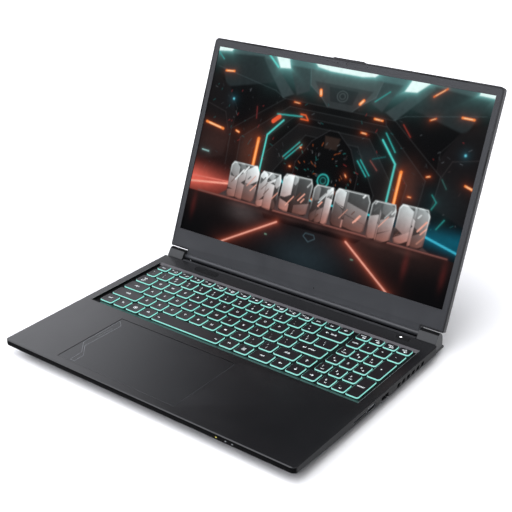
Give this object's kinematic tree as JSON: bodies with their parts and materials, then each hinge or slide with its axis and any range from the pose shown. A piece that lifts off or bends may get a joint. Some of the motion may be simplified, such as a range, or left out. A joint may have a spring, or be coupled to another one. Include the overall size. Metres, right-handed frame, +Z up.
{
  "type": "laptop computer",
  "caption": "Large gaming-class laptop computer, lid open: full-size keyboard with number pad, offset touchpad, thin-bezel wide screen, barrel friction hinges and rear exhaust.",
  "frame": {"origin": "on the table plane under the feet, below the middle of the bounding box with the lid open as stored", "axes": "+X to the right of the user along the width, +Y from the user towards the hinge and the back, +Z up"},
  "size_m": [0.36, 0.3548, 0.2558],
  "materials": {
    "base_shell": "fine moulded texture, satin",
    "underside": "coarse matt texture",
    "shroud": "satin",
    "rubber": "matt",
    "black_screw": "black oxide",
    "keycap": "fine texture, lit legends and skirts",
    "key_plate": "matt black",
    "light_guide": "translucent",
    "circuit_board": "solder mask",
    "battery": "wrapped cells",
    "dark_plastic": "satin",
    "copper": "satin copper",
    "bare_metal": "satin",
    "steel": "plated steel",
    "port_shell": "nickel plated",
    "port_plastic": "black",
    "touch_surface": "smooth satin",
    "button": "satin black",
    "hinge_cover": "satin grey",
    "lid_shell": "fine texture",
    "bezel": "smooth satin",
    "screen": "anti-glare display",
    "lens": "gloss black"
  },
  "bodies": {
    "base": {"bottom_cover": "underside", "rear_shroud": "shroud", "rubber_feet": "rubber", "bottom_screws": "black_screw", "top_case": "base_shell", "keyboard_plate": "key_plate", "keyboard_backlight": "light_guide", "mainboard": "circuit_board", "battery_pack": "battery", "left_fan_housing": "dark_plastic", "right_fan_housing": "dark_plastic", "heat_pipes": "copper", "fin_stacks": "bare_metal", "solid_state_drive": "circuit_board", "memory_modules": "circuit_board", "wireless_card": "circuit_board", "speakers": "dark_plastic", "usb_a_ports": "port_shell", "card_reader": "port_shell", "ethernet_port": "dark_plastic", "audio_jacks": "dark_plastic", "power_inlet": "port_plastic", "video_ports": "port_shell", "touchpad_bracket": "steel", "hinge_brackets": "steel", "hinge_covers": "hinge_cover"},
    "lid": {"lid_cover": "lid_shell", "screen_bezel": "bezel", "lcd_panel": "screen", "webcam_module": "lens", "lid_bumpers": "rubber", "hinge_arms": "steel", "display_cable": "dark_plastic"},
    "escape_key": {"escape_key": "keycap"},
    "function_keys": {"function_keys": "keycap"},
    "backspace_key": {"backspace_key": "keycap"},
    "number_keys": {"number_keys": "keycap"},
    "tab_key": {"tab_key": "keycap"},
    "letter_keys_top": {"letter_keys_top": "keycap"},
    "caps_lock_key": {"caps_lock_key": "keycap"},
    "letter_keys_home": {"letter_keys_home": "keycap"},
    "enter_key": {"enter_key": "keycap"},
    "left_shift_key": {"left_shift_key": "keycap"},
    "letter_keys_bottom": {"letter_keys_bottom": "keycap"},
    "right_shift_key": {"right_shift_key": "keycap"},
    "modifier_keys": {"modifier_keys": "keycap"},
    "space_key": {"space_key": "keycap"},
    "arrow_left_key": {"arrow_left_key": "keycap"},
    "arrow_up_key": {"arrow_up_key": "keycap"},
    "arrow_down_key": {"arrow_down_key": "keycap"},
    "arrow_right_key": {"arrow_right_key": "keycap"},
    "numpad_keys": {"numpad_keys": "keycap"},
    "numpad_plus_key": {"numpad_plus_key": "keycap"},
    "numpad_enter_key": {"numpad_enter_key": "keycap"},
    "touchpad": {"touchpad": "touch_surface"},
    "power_button": {"power_button": "button"},
    "ethernet_jaw": {"ethernet_jaw": "dark_plastic"},
    "left_fan_impeller": {"left_fan_impeller": "dark_plastic"},
    "right_fan_impeller": {"right_fan_impeller": "dark_plastic"}
  },
  "joints": [
    {"name": "lid_hinge", "type": "hinge", "parent": "base", "child": "lid", "pos_m": [0, 0.07359, 0.0204], "axis": [1, 0, 0], "range_deg": [-32.2, 112.8]},
    {"name": "left_fan_spin", "type": "hinge", "parent": "base", "child": "left_fan_impeller", "pos_m": [-0.116, 0.02359, 0.008], "axis": [0, 0, 1], "continuous": true},
    {"name": "right_fan_spin", "type": "hinge", "parent": "base", "child": "right_fan_impeller", "pos_m": [0.116, 0.02359, 0.008], "axis": [0, 0, 1], "continuous": true},
    {"name": "touchpad_click", "type": "hinge", "parent": "base", "child": "touchpad", "pos_m": [-0.0365, -0.07821, 0.0178], "axis": [1, 0, 0], "range_deg": [0, 0.35], "stiffness_Nm_per_rad": 12, "springref_deg": -0.34},
    {"name": "power_press", "type": "slide", "parent": "base", "child": "power_button", "axis": [0, 0, -1], "range_m": [0, 0.0005], "stiffness_N_per_m": 1500, "springref_m": -0.0004},
    {"name": "ethernet_jaw_hinge", "type": "hinge", "parent": "base", "child": "ethernet_jaw", "pos_m": [0.1666, -0.03441, 0.0087], "axis": [0, 1, 0], "range_deg": [0, 18], "stiffness_Nm_per_rad": 0.02, "springref_deg": -11.46},
    {"name": "escape_key_press", "type": "slide", "parent": "base", "child": "escape_key", "axis": [0, 0, -1], "range_m": [0, 0.0012], "stiffness_N_per_m": 400, "springref_m": -0.0005},
    {"name": "function_keys_press", "type": "slide", "parent": "base", "child": "function_keys", "axis": [0, 0, -1], "range_m": [0, 0.0012], "stiffness_N_per_m": 3000, "springref_m": -0.0005},
    {"name": "backspace_key_press", "type": "slide", "parent": "base", "child": "backspace_key", "axis": [0, 0, -1], "range_m": [0, 0.0012], "stiffness_N_per_m": 400, "springref_m": -0.0005},
    {"name": "number_keys_press", "type": "slide", "parent": "base", "child": "number_keys", "axis": [0, 0, -1], "range_m": [0, 0.0012], "stiffness_N_per_m": 3000, "springref_m": -0.0005},
    {"name": "tab_key_press", "type": "slide", "parent": "base", "child": "tab_key", "axis": [0, 0, -1], "range_m": [0, 0.0012], "stiffness_N_per_m": 400, "springref_m": -0.0005},
    {"name": "letter_keys_top_press", "type": "slide", "parent": "base", "child": "letter_keys_top", "axis": [0, 0, -1], "range_m": [0, 0.0012], "stiffness_N_per_m": 3000, "springref_m": -0.0005},
    {"name": "caps_lock_key_press", "type": "slide", "parent": "base", "child": "caps_lock_key", "axis": [0, 0, -1], "range_m": [0, 0.0012], "stiffness_N_per_m": 400, "springref_m": -0.0005},
    {"name": "letter_keys_home_press", "type": "slide", "parent": "base", "child": "letter_keys_home", "axis": [0, 0, -1], "range_m": [0, 0.0012], "stiffness_N_per_m": 3000, "springref_m": -0.0005},
    {"name": "enter_key_press", "type": "slide", "parent": "base", "child": "enter_key", "axis": [0, 0, -1], "range_m": [0, 0.0012], "stiffness_N_per_m": 400, "springref_m": -0.0005},
    {"name": "left_shift_key_press", "type": "slide", "parent": "base", "child": "left_shift_key", "axis": [0, 0, -1], "range_m": [0, 0.0012], "stiffness_N_per_m": 400, "springref_m": -0.0005},
    {"name": "letter_keys_bottom_press", "type": "slide", "parent": "base", "child": "letter_keys_bottom", "axis": [0, 0, -1], "range_m": [0, 0.0012], "stiffness_N_per_m": 3000, "springref_m": -0.0005},
    {"name": "right_shift_key_press", "type": "slide", "parent": "base", "child": "right_shift_key", "axis": [0, 0, -1], "range_m": [0, 0.0012], "stiffness_N_per_m": 400, "springref_m": -0.0005},
    {"name": "modifier_keys_press", "type": "slide", "parent": "base", "child": "modifier_keys", "axis": [0, 0, -1], "range_m": [0, 0.0012], "stiffness_N_per_m": 2000, "springref_m": -0.0005},
    {"name": "space_key_press", "type": "slide", "parent": "base", "child": "space_key", "axis": [0, 0, -1], "range_m": [0, 0.0012], "stiffness_N_per_m": 450, "springref_m": -0.0005},
    {"name": "arrow_left_key_press", "type": "slide", "parent": "base", "child": "arrow_left_key", "axis": [0, 0, -1], "range_m": [0, 0.0012], "stiffness_N_per_m": 400, "springref_m": -0.0005},
    {"name": "arrow_up_key_press", "type": "slide", "parent": "base", "child": "arrow_up_key", "axis": [0, 0, -1], "range_m": [0, 0.0012], "stiffness_N_per_m": 400, "springref_m": -0.0005},
    {"name": "arrow_down_key_press", "type": "slide", "parent": "base", "child": "arrow_down_key", "axis": [0, 0, -1], "range_m": [0, 0.0012], "stiffness_N_per_m": 400, "springref_m": -0.0005},
    {"name": "arrow_right_key_press", "type": "slide", "parent": "base", "child": "arrow_right_key", "axis": [0, 0, -1], "range_m": [0, 0.0012], "stiffness_N_per_m": 400, "springref_m": -0.0005},
    {"name": "numpad_keys_press", "type": "slide", "parent": "base", "child": "numpad_keys", "axis": [0, 0, -1], "range_m": [0, 0.0012], "stiffness_N_per_m": 3500, "springref_m": -0.0005},
    {"name": "numpad_plus_key_press", "type": "slide", "parent": "base", "child": "numpad_plus_key", "axis": [0, 0, -1], "range_m": [0, 0.0012], "stiffness_N_per_m": 400, "springref_m": -0.0005},
    {"name": "numpad_enter_key_press", "type": "slide", "parent": "base", "child": "numpad_enter_key", "axis": [0, 0, -1], "range_m": [0, 0.0012], "stiffness_N_per_m": 400, "springref_m": -0.0005}
  ]
}
